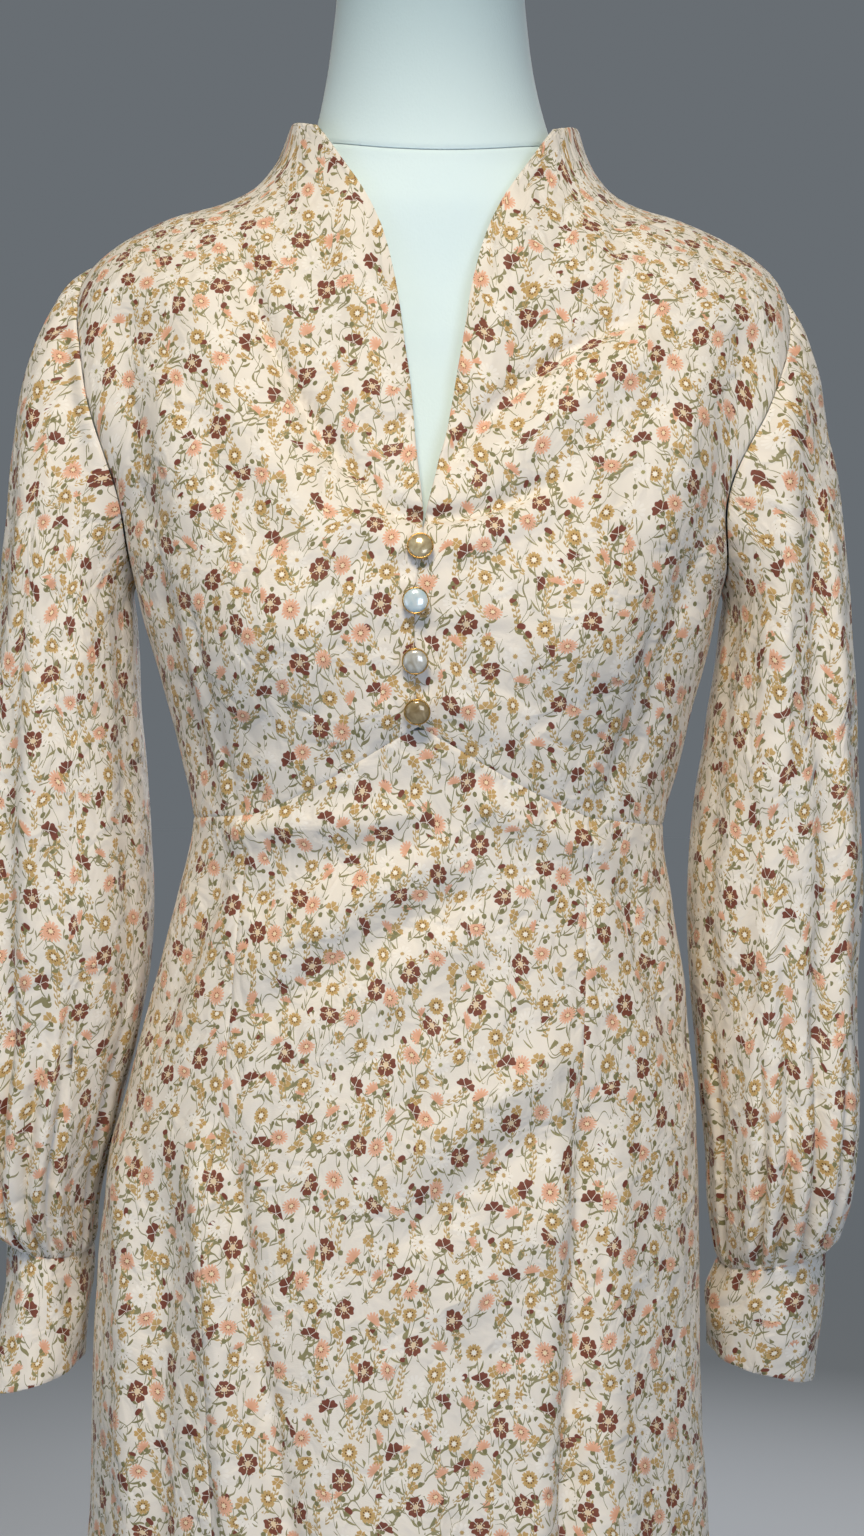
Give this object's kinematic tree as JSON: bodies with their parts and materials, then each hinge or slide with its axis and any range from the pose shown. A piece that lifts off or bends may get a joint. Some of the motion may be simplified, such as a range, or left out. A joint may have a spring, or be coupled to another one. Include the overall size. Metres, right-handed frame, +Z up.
{
  "type": "maxi dress on a dress form",
  "caption": "Floor-length floral dress with a slit stand neck, pointed empire seam and bishop sleeves, worn by a limbless dress form on a round stand.",
  "frame": {"origin": "on the floor, at the centre of the underside of the stand's round base", "axes": "+Z up, the dress's front faces -Y, +X is the wearer's left"},
  "size_m": [0.4953, 0.4236, 1.594],
  "materials": {
    "cloth": "cream brushed cotton sateen with a small floral print in brown, peach, ochre, white and green",
    "button": "smoky pearl dome in a thin gold-coloured metal rim",
    "jersey": "white stretch jersey cover",
    "stand": "satin light grey paint"
  },
  "bodies": {
    "root": {"bodice_front_left": "cloth", "bodice_front_right": "cloth", "bodice_back_left": "cloth", "bodice_back_right": "cloth", "skirt_front": "cloth", "skirt_side_left": "cloth", "skirt_side_right": "cloth", "skirt_back_left": "cloth", "skirt_back_right": "cloth", "sleeve_left": "cloth", "sleeve_right": "cloth", "cuff_left": "cloth", "cuff_right": "cloth", "button_1": "button", "button_2": "button", "button_3": "button", "button_4": "button", "form_torso": "jersey", "form_neck": "jersey", "form_pole": "stand", "form_stand": "stand"}
  },
  "joints": []
}
